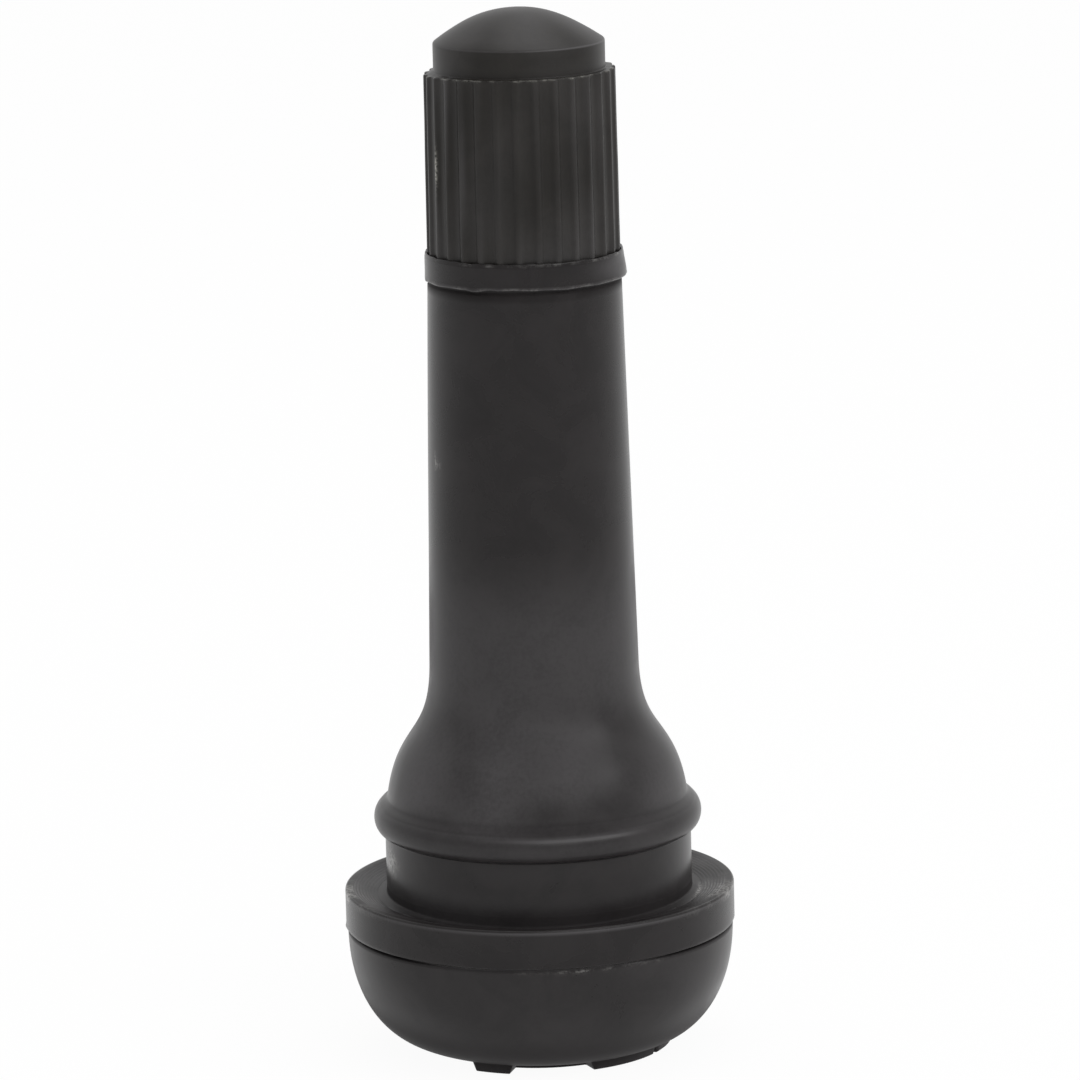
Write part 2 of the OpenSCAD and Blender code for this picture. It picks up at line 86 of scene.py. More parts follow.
# Centre from the front and span in degrees, inner and outer radius of each foot
FEET = ((-22.9, 17.2, 5.3, 6.62), (4.5, 43.0, 4.9, 5.45), (40.5, 36.5, 5.3, 6.5), (73.0, 24.0, 5.3, 6.5),
        (148.0, 56.0, 5.3, 6.5), (235.0, 56.0, 5.3, 6.5))
FEET_FROM = 4.8
FEET_REACH = 6.8
FOOT_SIDE = 0.8

# Small forms of the rubber, with spreads and sides in degrees from the front
FRONT_SPREAD = 55
CORNER_H = 0.3
CORNER_DROP = 0.6
WOBBLE = 0.012
COLLAR_WANDER = 0.035
COLLAR_RAG = 0.03
COLLAR_RISE = 0.05
PARTING_WANDER = 0.015
PARTING_DEPTH = 0.24
PARTING_SIDES = (20, 60)
RING_PITCH = 0.16
RING_H = 0.009
RING_SHIFT = 1.2
# Bumps round the axis: size or share, degrees from the front and their spread
COLLAR_NICKS = ((-0.07, -30, 4), (0.06, -20, 4))
COLLAR_FLARE = ((0.09, 88, 35), (-0.04, -88, 35))
PARTING_LUMP = ((0.07, -88, 5),)
PARTING_WEAR = ((0.6, 6, 8), (0.22, 28, 14))
# A painted highlight along the bead's upper shoulder, strongest just right of the front
BEAD_HIGHLIGHT = ((0.8, 4, 18), (0.35, 27, 10))
LIP_WEAR_LEFT = ((0.9, -80, 13),)
LIP_WEAR_RIGHT = ((0.5, 76, 16),)
RING_SIDES = ((1.0, -75, 22), (1.0, 80, 22))
# Spots: share, degrees from the front and their spread, height and its spread
NECK_SCUFF = ((1.0, -75, 6, 9.94, 0.6),)
BODY_NICK = ((1.0, -65, 3, 30.16, 0.4),)
BULB_MATTE = ((0.5, 12, 17, 15.4, 2.6),)
BULB_DUST = ((0.34, -20, 11, 15.2, 1.8), (-0.22, 3, 11, 15.2, 2.3),
             (0.15, -22, 12, 13.3, 0.9), (-0.30, 3, 14, 13.3, 0.9))
# Painted sheen: pale spots on both edges of the body, on the collar's right side and in the hollow at the
# left
PAINTED_SHEEN_SPOTS = ((0.5, -79, 10, 21.5, 2.2), (0.4, 80, 10, 23.5, 1.8),
             (0.55, 68, 22, 39.7, 0.5), (0.2, -22, 12, 12.7, 0.5))
# Zones up the rubber: where each starts, is full, fades and ends
GROOVE_ZONE = (DISH_Z - 0.1, DISH_Z, 8.6, 9.8)
NECK_ZONE = (LIP_Z, BEAD_Z, BEAD_Z, BEAD_Z + 0.2)
BEAD_ZONE = (BEAD_Z, BEAD_Z + 0.2, 12.4, 13.6)
HOLLOW_ZONE = (12.35, 12.5, 12.75, 13.1)
BULB_ZONE = (12.4, 13.6, 16.5, 19.5)
BODY_ZONE = (16.5, 19.5, 21.5, 26.5)

# Brass stem
STEM_Z = 4.02
FLANGE_R = 4.5
FLANGE_TOP = 5.02
SHANK_R = 3.40
SHANK_Z = 6.12
BARB_COUNT = 5
BARB_PITCH = 4.0
BARB_PROUD = 0.4
THREAD_R = 3.85
THREAD_Z = 36.01
TIP_Z = 48.5
TIP_CHAMFER = 0.45
BORE_R = 1.95
SEAT_Z = 40.98
SEAT_TOP = 42.48
SEAT_TOP_R = 2.38
TAP_R = 2.65

# Screw threads: pitch, height of the ridge, and the play between the two sides
CAP_PITCH = 0.79375
CAP_RIDGE = 0.40
CAP_PLAY = 0.07
CORE_PITCH = 0.70556
CORE_RIDGE = 0.24
CORE_PLAY = 0.06

# Dust cap
CAP_Z = 40.27
CREST_R = 4.77
CREST_TOP_R = 4.715
LEDGE_Z = 49.29
CROWN_R = 4.225
CROWN_Z = 50.665
DOME_H = 1.65
DOME_ROUND = 0.83
RIM_ROUND = 0.18
CROWN_WALL = 1.2
CAP_BORE_R = 3.90
POCKET_Z = 48.3
POCKET_R = 3.72
POCKET_TOP = 49.49
RECESS_R = 2.75
RIB_COUNT = 30
RIB_DEPTH = 0.16
RIB_HALF = 1.38
RIB_FLANK = 1.6
RIB_PHASE = -90 - 2.5
# Unevenness of the ribs' depth, their wear, the ledge's drop on the left and the dome's fullness
RIB_UNEVEN = 0.10
RIB_WEAR = 0.006
LEDGE_DROP = 0.16
DOME_FULL = 0.06
DOME_LEAN = 0.03
DOME_FLAT = 0.045
SCRATCH = ((1.5, -62.2, 1.0, 44.75, 0.7),)

# Valve core
PLUG_R = 2.60
PLUG_Z = 43.3
PLUG_RING_TOP = 46.0
PLUG_CHAMFER = 0.12
PLUG_TOP = 47.2
PLUG_BORE_R = 1.42
CRIMP_R = 1.58
CRIMP_TOP = 43.5
HEAD_BORE_R = 1.93
HEAD_BORE_TOP = 44.56
BRIDGE_R = 2.30
BRIDGE_HALF_W = 0.85
PIN_HOLE_R = 0.6
SPRING_R = 0.85
SPRING_TURNS = 6
SPRING_Z = 39.62
SPRING_RISE = 3.56
WIRE_R = 0.15

# The photograph's camera, from a fit to the outline: metres, radians and pixels
PHOTO_PX = 1080
FOCAL_PX = 6836.5
SENSOR_MM = 36.0
CAMERA_AT = (0.001277, -0.33268, 0.09418)
CAMERA_PITCH = 0.2031
CAMERA_ROLL = -0.0248
CAMERA_YAW = 0.0025


# Shape helpers

def smooth_step(low, high, x):
    """0 below low, 1 above high, and a smooth ramp between."""
    t = np.clip((x - low) / (high - low), 0.0, 1.0)
    return t * t * (3 - 2 * t)


def bell(x, centre, width):
    """A soft bump of height 1."""
    return np.exp(-((x - centre) / width) ** 2)


def zone(x, low, full, fade, high):
    """0 up to low, 1 from full to fade, and 0 again from high."""
    return smooth_step(low, full, x) * (1 - smooth_step(fade, high, x))


def arcs(front, table):
    """Soft bumps round the axis, added up."""
    return sum(share * bell(front, at, wide) for share, at, wide in table)


def spots(front, z, table):
    """Soft spots, added up."""
    return sum(share * bell(front, at, wide) * bell(z, up, tall) for share, at, wide, up, tall in table)


def waves(angle, along, seed, turns, cycles, count=14):
    """Even noise of about -1 to 1 that joins up round the axis.

    turns: the most waves round the axis; cycles: the most waves per millimetre along it."""
    rng = np.random.default_rng(seed)
    total = np.zeros(np.broadcast(angle, along).shape)
    for _ in range(count):
        m = rng.integers(-turns, turns + 1)
        k = rng.uniform(-cycles, cycles) * 2 * math.pi
        total += np.sin(m * angle + k * along + rng.uniform(0, 2 * math.pi))
    return total / math.sqrt(count / 2) / 1.6


def mottled(a, along, base, gain, **noise):
    """An uneven share of 0 to 1."""
    return np.clip(base + gain * waves(a, along, **noise), 0, 1)


def ragged(a, seed, turns, base, gain):
    """An uneven share of 0 to 1 round an edge."""
    return mottled(a, 0 * a, base, gain, seed=seed, turns=turns, cycles=0.0, count=30)


def rounded(corners, steps=4):
    """A line of points from corners of r, z and fillet radius."""
    out = []
    last = len(corners) - 1
    for i, (r, z, fillet) in enumerate(corners):
        p = np.array((r, z), float)
        if fillet == 0 or i in (0, last):
            out.append(p)
            continue
        a = np.array(corners[i - 1][:2], float) - p
        b = np.array(corners[i + 1][:2], float) - p
        la, lb = np.linalg.norm(a), np.linalg.norm(b)
        half = math.acos(float(np.clip(a @ b / la / lb, -1, 1))) / 2
        reach = min(fillet / math.tan(half), 0.48 * la, 0.48 * lb)
        start, end = p + a / la * reach, p + b / lb * reach
        for t in np.linspace(0, 1, steps + 1):
            out.append((1 - t) ** 2 * start + 2 * t * (1 - t) * p + t * t * end)
    return np.array(out)


def spread(points, step):
    """The same line with no edge longer than step."""
    points = np.asarray(points, float)
    out = [points[:1]]
    for a, b in zip(points[:-1], points[1:]):
        n = max(1, math.ceil(np.linalg.norm(b - a) / step))
        out.append(a + (b - a) * (np.arange(1, n + 1) / n)[:, None])
    return np.concatenate(out)


def joined(*lines):
    """Lines end to end, without the points that repeat."""
    points = np.concatenate([np.asarray(line, float).reshape(-1, 2) for line in lines])
    keep = np.ones(len(points), bool)
    keep[1:] = np.linalg.norm(np.diff(points, axis=0), axis=1) > 1e-6
    return points[keep]


def turned(outline, angles, shape=None):
    """A turned shell: points, faces and marks.

    outline: r and z, up the outside and down the inside; it closes on itself, or both ends lie on the axis.
    shape(r, z, a): the moved r and z, and marks of 0 to 1 by name."""
    on_axis = outline[0, 0] < 1e-9 and outline[-1, 0] < 1e-9
    rings = outline[1:-1] if on_axis else outline
    count, around = len(rings), len(angles)
    r = np.repeat(rings[:, :1], around, axis=1)
    z = np.repeat(rings[:, 1:], around, axis=1)
    a = np.repeat(np.asarray(angles)[None, :], count, axis=0)
    marks = {}
    if shape:
        r, z, marks = shape(r, z, a)
    points = np.stack([r * np.cos(a), r * np.sin(a), z], axis=-1).reshape(-1, 3)
    rows = count - 1 if on_axis else count
    i = np.arange(rows)[:, None]
    j = np.arange(around)[None, :]
    up, side = (i + 1) % count, (j + 1) % around
    faces = np.stack(np.broadcast_arrays(
        i * around + j, i * around + side, up * around + side, up * around + j), axis=-1)
    faces = [tuple(f) for f in faces.reshape(-1, 4).tolist()]
    if on_axis:
        moved = z.mean(axis=1) - rings[:, 1]
        ends = np.array([[0, 0, outline[0, 1] + moved[0]], [0, 0, outline[-1, 1] + moved[-1]]])
        first, second = len(points), len(points) + 1
        points = np.concatenate([points, ends])
        top = (count - 1) * around
        for k in range(around):
            n = (k + 1) % around
            faces.append((first, n, k))
            faces.append((second, top + k, top + n))
        marks = {m: np.concatenate([v.ravel(), [v[0].mean(), v[-1].mean()]]) for m, v in marks.items()}
    return points, faces, {m: np.asarray(v).ravel() for m, v in marks.items()}


def piece(name, material, body, slot, nodes, *shells):
    """One smooth object from shells, riding on a body and standing for CAD nodes."""
    points, faces, start = [], [], 0
    for shell in shells:
        points.append(shell[0])
        faces += [tuple(v + start for v in f) for f in shell[1]]
        start += len(shell[0])
    mesh = bpy.data.meshes.new(name)
    mesh.from_pydata((np.concatenate(points) * MM).tolist(), [], faces)
    mesh.update()
    mesh.shade_smooth()
    for mark in shells[0][2]:
        attribute = mesh.attributes.new(mark, "FLOAT", "POINT")
        values = np.concatenate([s[2][mark] for s in shells])
        attribute.data.foreach_set("value", values.astype(np.float32))
    mesh.materials.append(material)
    obj = bpy.data.objects.new(name, mesh)
    bpy.context.scene.collection.objects.link(obj)
    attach(obj, body)
    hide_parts(*nodes)
    return obj


def ridge(z, a, pitch):
    """A right-hand thread's height, 0 in the root and 1 on the crest."""
    return 0.5 + 0.5 * np.cos(2 * math.pi * (z / pitch) - a)


def even_angles(count):
    """Samples round the axis."""
    return np.arange(count) * 2 * math.pi / count


def rubber_angles(count=204):
    """Even samples, with more where the sides of the feet stand."""
    even = np.degrees(even_angles(count)) - 90
    edges = np.array([centre + side * span / 2 for centre, span, _, _ in FEET for side in (-1, 1)])
    near = np.abs((even[:, None] - edges[None, :] + 180) % 360 - 180).min(axis=1) < FOOT_SIDE + 0.45
    every = np.concatenate([even[~near], edges - FOOT_SIDE, edges, edges + FOOT_SIDE])
    return np.radians(np.sort((every + 180) % 360 - 180) - 90)


# The rubber moulding

def cubic(a, b, c, d, t):
    """A curve from a to d that b and c pull."""
    t = np.asarray(t)[:, None]
    return (1 - t) ** 3 * a + 3 * (1 - t) ** 2 * t * b + 3 * (1 - t) * t * t * c + t ** 3 * d


def bowl_line(steps=56):
    """The bowl's outline from its flat underside to the parting step, finer where the feet stand."""
    t = np.linspace(0, math.pi / 2, steps)
    r = BASE_FLAT_R + (BASE_R - BASE_FLAT_R) * np.sin(t) ** (2 / BOWL_POWER)
    z = PARTING_Z - (PARTING_Z - FOOT_H) * np.cos(t) ** (2 / BOWL_POWER)
    line = spread(np.stack([r, z], axis=1), 0.1)
    fine = line[:, 0] < FEET_REACH
    return line[(fine | (np.arange(len(line)) % 2 == 0)) & (line[:, 1] < PARTING_LOW)]


def bead_line(steps=24):
    """The bead's outline up to the hollow."""
    t = np.linspace(-math.pi / 2, HOLLOW_A, steps)
    return np.stack([NECK_R + BEAD_PROUD * np.cos(t), BEAD_Z + BEAD_H * (1 + np.sin(t)) / 2], axis=1)


def bulb_line(steps=44):
    """The bulb's outline from the hollow to the body."""
    foot, top = np.array([BULB_R, BULB_Z]), np.array([BODY_FOOT_R, BODY_Z])
    foot_pull = foot + np.array(BULB_FOOT_PULL) * BULB_H
    top_pull = top + np.array(BULB_TOP_PULL) * BULB_H
    return cubic(foot, foot_pull, top_pull, top, np.linspace(HOLLOW_SHARE, 1, steps))


def hollow_line(start, end, steps=14):
    """The hollow that blends the bead into the bulb."""
    start_pull = start + HOLLOW_PULL * np.array([-math.cos(HOLLOW_A), math.sin(HOLLOW_A)])
    return cubic(start, start_pull, end - np.array([0, HOLLOW_PULL]), end, np.linspace(0, 1, steps))


def stem_corners(gap, top_r, top_z, edge):
    """The stem's outside from its foot up, as corners with small fillets."""
    out = [(FLANGE_R + gap, STEM_Z - gap, edge), (FLANGE_R + gap, FLANGE_TOP + gap, edge),
           (SHANK_R + gap, SHANK_Z + gap, edge)]
    for i in range(BARB_COUNT):
        z = SHANK_Z + BARB_PITCH * (i + 0.5)
        out += [(SHANK_R + gap, z, edge), (SHANK_R + BARB_PROUD + gap, z + BARB_PROUD, edge),
                (SHANK_R + BARB_PROUD + gap, z + 2 * BARB_PROUD, edge),
                (SHANK_R + gap, z + 4 * BARB_PROUD, edge)]
    out += [(SHANK_R + gap, THREAD_Z - 0.45, edge), (THREAD_R + gap, THREAD_Z, edge), (top_r, top_z, 0)]
    return out


def rubber_outline():
    """The rubber from the underside up the outside, and down round the stem to the air hole."""
    band_top, body_top = LIP_Z - 0.3, COLLAR_Z - 0.3
    dish_end = (BEVEL_R + 0.05, DISH_Z + 0.015)
    underside = joined(spread([(INLET_R, FOOT_H), (FEET_FROM, FOOT_H)], 0.6),
                       spread([(FEET_FROM, FOOT_H), (BASE_FLAT_R - 0.02, FOOT_H)], 0.06))
    parting = rounded([(BASE_R, PARTING_LOW, 0), (BASE_R - 0.045, PARTING_Z - 0.06, 0.06),
                       (BAND_R - 0.03, PARTING_Z, 0.02), (BAND_R, PARTING_Z + 0.04, 0.03),
                       (BAND_R, band_top, 0)], 4)
    lip = rounded([(BAND_R, band_top, 0), (BAND_R, LIP_Z, LIP_ROUND), (LAND_R, LIP_Z, 0.10)], 8)
    dish = spread([(LAND_R - 0.05, LIP_Z - 0.01), dish_end], 0.034)
    neck = rounded([(*dish_end, 0), (BEVEL_R, DISH_Z, 0.05),
                    (NECK_R, DISH_Z + BEVEL_H, 0.10), (NECK_R, BEAD_Z, 0)], 6)
    bead, bulb = bead_line(), bulb_line()
    body = spread([(BODY_FOOT_R, BODY_Z), (BODY_TOP_R, body_top)], 0.4)
    collar = rounded([(BODY_TOP_R, body_top, 0), (BODY_TOP_R - 0.08, COLLAR_Z - 0.13, 0.06),
                      (BODY_TOP_R - 0.08, COLLAR_Z, 0.02), (COLLAR_R - 0.03, COLLAR_Z, 0.02),
                      (COLLAR_R, COLLAR_Z + 0.06, 0.04), (COLLAR_TOP_R, COLLAR_TOP - 0.1, 0.2),
                      (COLLAR_TOP_R - 0.03, COLLAR_SQUEEZE, 0.05), (CREST_R - 0.3, COLLAR_SQUEEZE, 0.02),
                      (CREST_R - 0.35, COLLAR_TOP, 0.02), (THREAD_R + 0.3, COLLAR_TOP, 0)], 3)
    void = rounded(stem_corners(BOND_GAP, THREAD_R + BOND_GAP, COLLAR_TOP, 0.05), steps=1)[::-1]
    inlet = [(INLET_R, STEM_Z - BOND_GAP), (INLET_R, FOOT_H + 0.1)]
    return joined(underside, bowl_line(), spread(parting, 0.16), lip, dish, spread(neck, 0.12), bead,
                  hollow_line(bead[-1], bulb[0]), bulb, body, spread(collar, 0.12), void, inlet)


def front_angle(a):
    """Degrees from the front, from -180 to 180, growing to the viewer's right."""
    return (np.degrees(a) + 90 + 180) % 360 - 180


def feet_share(r, z, a):
    """1 on the feet under the bowl, 0 elsewhere."""
    share = np.zeros_like(r)
    for centre, span, in_r, out_r in FEET:
        off = np.abs((front_angle(a) - centre + 180) % 360 - 180)
        one = 1 - smooth_step(span / 2 - FOOT_SIDE, span / 2 + FOOT_SIDE, off)
        one = one * smooth_step(in_r - 0.03, in_r + 0.03, r)
        share = np.maximum(share, one * (1 - smooth_step(out_r - 0.07, out_r + 0.03, r)))
    return share * (z < PARTING_Z / 2)


def collar_edge(r, z):
    """1 on the collar's thin lower edge."""
    return bell(z, COLLAR_Z + 0.04, 0.06) * (r > COLLAR_R - 0.06)


def dish_share(r, z):
    """1 on the sloped face of the lip."""
    share = smooth_step(BEVEL_R, BEVEL_R + 0.1, r) * (1 - smooth_step(LAND_R - 0.1, LAND_R, r))
    return share * (np.abs(z - LIP_Z + 0.2) < 0.3)


def on_lip(z):
    """Whether a height lies on the lip or in its groove."""
    return (z > DISH_Z - 0.05) & (z < LIP_Z + 0.1)


def at_sides(front):
    """0 in front and 1 at both sides."""
    return smooth_step(*PARTING_SIDES, np.abs(front))


def corner_wear(r, z, front):
    """A worn spot on the groove's corner, at the right."""
    return on_lip(z) * bell(front, 82, 8) * bell(r, BEVEL_R - 0.08, 0.09)


def rubber_form(r, z, a, outside):
    """The feet, the uneven edges and the mould's rings: the moved r and z."""
    front = front_angle(a)
    z = z * (1 - feet_share(r, z, a))
    # the groove's inner corner is low in front
    corner_top = DISH_Z + BEVEL_H + CORNER_H
    corner = (z > DISH_Z) & (z < corner_top) & (r < BEVEL_R)
    z = z - outside * corner * (corner_top - z) * CORNER_DROP * bell(front, 0, FRONT_SPREAD)
    # a moulding is never quite round or straight
    wobble = WOBBLE * waves(a, z, seed=3, turns=4, cycles=0.06)
    # the collar's thin lower edge wanders, and stands out on one side
    wander = COLLAR_WANDER * waves(a, 0 * z, seed=5, turns=18, cycles=0.0, count=24)
    wander = bell(z, COLLAR_Z, 0.22) * (wander + arcs(front, COLLAR_NICKS))
    edge_out = collar_edge(r, z) * COLLAR_RAG * ragged(a, seed=7, turns=60, base=0.3, gain=0.5)
    flare = (z > COLLAR_Z - 0.02) * (r > COLLAR_TOP_R - 0.02)
    edge_out = edge_out + flare * (1 - smooth_step(COLLAR_Z + 0.1, COLLAR_TOP, z)) * arcs(front, COLLAR_FLARE)
    # its upper edge rises round the cap
    top = bell(z, COLLAR_SQUEEZE, 0.03) * (r > CREST_R + 0.015) * (r < COLLAR_R + 0.2)
    top_rise = top * COLLAR_RISE * (1 + ragged(a, seed=8, turns=50, base=0.35, gain=0.5))
    # the band's lower edge is uneven, over a groove at both sides
    parting = PARTING_WANDER * waves(a, 0 * z, seed=11, turns=40, cycles=0.0, count=24)
    parting = bell(z, PARTING_Z + 0.02, 0.05) * (parting + arcs(front, PARTING_LUMP))
    parting = parting - bell(z, PARTING_Z - 0.06, 0.065) * PARTING_DEPTH * at_sides(front)
    r = r + outside * (wobble + edge_out + parting)
    # the mould left fine rings on the lip
    rings = dish_share(r, z) * RING_H * np.sin(2 * math.pi * r / RING_PITCH)
    return r, z + outside * wander + top_rise + rings


def rubber_dust_and_sheen(r, z, a):
    """How much the rubber is lightened: dust, most on the bulb, in soft patches, and little above and below,
    and painted sheen on the body's edges and the collar's right side.
    """
    front = front_angle(a)
    patch = 0.46 + 0.26 * waves(a, z, seed=61, turns=6, cycles=0.13, count=18) + spots(front, z, BULB_DUST)
    bulb = zone(z, *BULB_ZONE) * np.clip(patch, 0.08, 1)
    groove = zone(z, *GROOVE_ZONE) * (r < NECK_R + 0.2) * (0.15 + 0.14 * bell(front, -40, 24))
    bowl = (z < PARTING_Z) * mottled(a, z, 0.14, 0.10, seed=63, turns=7, cycles=0.15, count=18)
    feet = 0.35 * (1 - smooth_step(0.26, 0.46, z))
    share = bulb + 0.42 * zone(z, *BODY_ZONE) + 0.28 * zone(z, *BEAD_ZONE) + 0.10 * zone(z, *NECK_ZONE)
    return np.clip(share + spots(front, z, PAINTED_SHEEN_SPOTS) + groove + bowl + feet, 0, 1)


def lip_rings(r, z, a):
    """Thin worn rings on the lip, strongest at both sides."""
    streaks = mottled(a, r, 0.6, 0.5, seed=29, turns=9, cycles=0.5)
    lines = 0.5 + 0.5 * np.sin(2 * math.pi * r / RING_PITCH + RING_SHIFT)
    return dish_share(r, z) * streaks * lines * (1 + 0.9 * arcs(front_angle(a), RING_SIDES))


def rubber_flecks(r, z, a, edge):
    """Where pale flecks show: on thin edges, on the lip and at a few knocked spots."""
    front = front_angle(a)
    flecks = 0.22 * edge * ragged(a, seed=13, turns=34, base=0.25, gain=0.7)
    land = bell(z, COLLAR_SQUEEZE, 0.04) * (r > CREST_R - 0.25) * (r < COLLAR_R)
    land_base = 0.10 + 0.30 * bell(front, 18, 25)
    flecks = flecks + 0.33 * land * ragged(a, seed=14, turns=40, base=land_base, gain=0.6)
    worn = arcs(front, LIP_WEAR_LEFT) * (r > LAND_R) + arcs(front, LIP_WEAR_RIGHT) * (r > LAND_R - 0.4)
    flecks = flecks + on_lip(z) * worn * mottled(a, r, 0.45, 0.9, seed=22, turns=50, cycles=0.8, count=24)
    flecks = flecks + 0.9 * corner_wear(r, z, front) + 0.26 * lip_rings(r, z, a) * arcs(front, RING_SIDES)
    below = bell(z, PARTING_LOW, 0.07) * (r > 9) * arcs(front, PARTING_WEAR)
    flecks = flecks + below * ragged(a, seed=23, turns=60, base=0.45, gain=0.6)
    scuff = spots(front, z, NECK_SCUFF) * (r < NECK_R + 0.1)
    flecks = flecks + scuff * mottled(a, z, 0.8, 0.9, seed=25, turns=40, cycles=1.2, count=20)
    nick = spots(front, z, BODY_NICK) * mottled(a, z, 0.2, 1.0, seed=27, turns=50, cycles=0.8)
    return np.clip(flecks + nick, 0, 1)


def rubber_lines_and_highlights(r, z, a, edge):
    """Where thin pale lines show: worn rings on the lip, the collar's edge, and painted highlights along the
    lip's outer edge and the bead's upper shoulder.
    """
    front = front_angle(a)
    # painted highlights: a thin line on the lip's outer edge, brighter to the front right, and one on the
    # bead
    lip_highlight = bell(z, LIP_Z - 0.15, 0.05) * (r > LAND_R + 0.2) * (0.4 + 0.5 * bell(front, 15, 40))
    bead = bell(z, BULB_Z - 0.28, 0.08) * arcs(front, BEAD_HIGHLIGHT)
    return np.clip(lip_rings(r, z, a) + 0.6 * corner_wear(r, z, front) + lip_highlight + bead + 0.5 * edge, 0, 1)


def rubber_matte(r, z, front):
    """Where the rubber shines less: low down, in the hollows and on the bulb's front."""
    in_front = bell(front, 0, FRONT_SPREAD)
    low = 0.9 * (1 - smooth_step(0.8, 3.4, z)) + 0.5 * bell(front, -75, 35) * (1 - smooth_step(2.5, 5.5, z))
    groove = on_lip(z) * (r > NECK_R - 0.05) * (r < BAND_R - 0.1) * (0.4 + 0.8 * in_front)
    hollow = 0.9 * zone(z, *HOLLOW_ZONE) * in_front
    under_collar = bell(z, COLLAR_Z - 0.2, 0.15) * (r < COLLAR_TOP_R)
    parting = at_sides(front) * bell(z, PARTING_Z - 0.1, 0.08)
    return np.clip(low + groove + hollow + under_collar + spots(front, z, BULB_MATTE) + parting, 0, 1)


def rubber_shape(r, z, a):
    """The rubber's small forms, on its outside only, and its marks."""
    outside = (z > FOOT_H + 0.01) & ~((r < THREAD_R + 0.3) & (z > STEM_Z - 0.1)) & (r > INLET_R + 0.01)
    edge = collar_edge(r, z)
    r, z = rubber_form(r, z, a, outside)
    # the ring mark also carries painted highlights, and the dust mark painted sheen
    marks = {"flash": rubber_flecks(r, z, a, edge) * outside, "dust_and_sheen": rubber_dust_and_sheen(r, z, a) * outside,
             "ring": rubber_lines_and_highlights(r, z, a, edge), "matte": rubber_matte(r, z, front_angle(a))}
    return r, z, marks


# The dust cap

def dome_z(r):
    """The dome's height at a radius."""
    t = r / CROWN_R
    return CROWN_Z + DOME_H * (DOME_ROUND * (1 - t * t) + (1 - DOME_ROUND) * (1 + np.cos(math.pi * t)) / 2)


def cap_angles():
    """Samples that crowd on the ribs: degrees from a rib's middle, and one in the groove beside it."""
    half = np.array([0.0, 0.7, 1.2, 1.6, 2.0, 2.45, 3.1, 4.2])
    one = np.concatenate([[-180 / RIB_COUNT], -half[:0:-1], half])
    every = np.concatenate([one + 360 / RIB_COUNT * i for i in range(RIB_COUNT)]) + RIB_PHASE
    return np.radians(every)


def cap_outline():
    """The cap from the middle of its inside, down the bore and up the outside to the dome's middle."""
    bore_top, bore_foot = POCKET_Z - 0.2, CAP_Z + 0.5
    skirt_foot, skirt_top = CAP_Z + 0.3, LEDGE_Z - 0.3
    band_foot, band_top = LEDGE_Z + 0.15, CROWN_Z - 0.45
    dome_in_r = np.linspace(0, RECESS_R, 12)
    recess = np.stack([dome_in_r, dome_z(dome_in_r) - CROWN_WALL], axis=1)
    inside = rounded([(RECESS_R, recess[-1, 1], 0), (RECESS_R, POCKET_TOP, 0.04),
                      (POCKET_R, POCKET_TOP, 0.03), (POCKET_R, POCKET_Z, 0.04),
                      (CAP_BORE_R, POCKET_Z, 0.03), (CAP_BORE_R, bore_top, 0)], 2)
    bore = spread([(CAP_BORE_R, bore_top), (CAP_BORE_R, bore_foot)], CAP_PITCH / 7)
    mouth = rounded([(CAP_BORE_R, bore_foot, 0), (CAP_BORE_R, CAP_Z + 0.25, 0.05),
                     (CAP_BORE_R + 0.25, CAP_Z, 0.05), (CREST_R, CAP_Z, 0.04), (CREST_R, skirt_foot, 0)], 4)
    skirt = spread([(CREST_R, skirt_foot), (CREST_TOP_R, skirt_top)], 0.4)
    ledge = rounded([(CREST_TOP_R, skirt_top, 0), (CREST_TOP_R, LEDGE_Z, 0.09), (CROWN_R, LEDGE_Z, 0.07),
                     (CROWN_R, CROWN_Z - 0.12, 0)], 5)
    band = spread([(CROWN_R, band_foot), (CROWN_R, band_top)], 0.2)
    dome_r = np.linspace(CROWN_R - 0.5, 0, 22)
    edge = rounded([(CROWN_R, band_top, 0), (CROWN_R, CROWN_Z, RIM_ROUND),
                    (dome_r[0], dome_z(dome_r[0]), 0)], 8)
    dome = np.stack([dome_r, dome_z(dome_r)], axis=1)
    return joined(recess, spread(inside, 0.3), bore, spread(mouth, 0.12), skirt,
                  spread(ledge[ledge[:, 1] < band_foot], 0.1), band, edge, dome)


def rib_groove(a):
    """0 on a rib's crest and 1 in the groove between two ribs."""
    step = 360 / RIB_COUNT
    offset = np.abs((np.degrees(a) - RIB_PHASE + step / 2) % step - step / 2)
    return smooth_step(RIB_HALF - 0.9, RIB_HALF + RIB_FLANK + 1.2, offset)


def cap_radius(r, z, a, inner, skirt):
    """The ribs outside and the thread inside: the moved r."""
    share = np.clip((r - CROWN_R) / (CREST_TOP_R - CROWN_R), 0, 1)
    depth = RIB_DEPTH * (1 + RIB_UNEVEN * waves(a, 0 * z, seed=31, turns=25, cycles=0.0))
    wear = RIB_WEAR * waves(a, z, seed=33, turns=40, cycles=0.3)
    r = r - skirt * share * (rib_groove(a) * depth - wear)
    # the thread fades out at both ends
    threaded = inner & (z < POCKET_Z - 0.05) & (z > CAP_Z + 0.2)
    fade = zone(z, CAP_Z + 0.3, CAP_Z + 0.9, POCKET_Z - 0.9, POCKET_Z - 0.2)
    thread_r = THREAD_R - CAP_RIDGE * (1 - ridge(z, a, CAP_PITCH)) + CAP_PLAY
    return np.where(threaded, CAP_BORE_R + (thread_r - CAP_BORE_R) * fade, r)


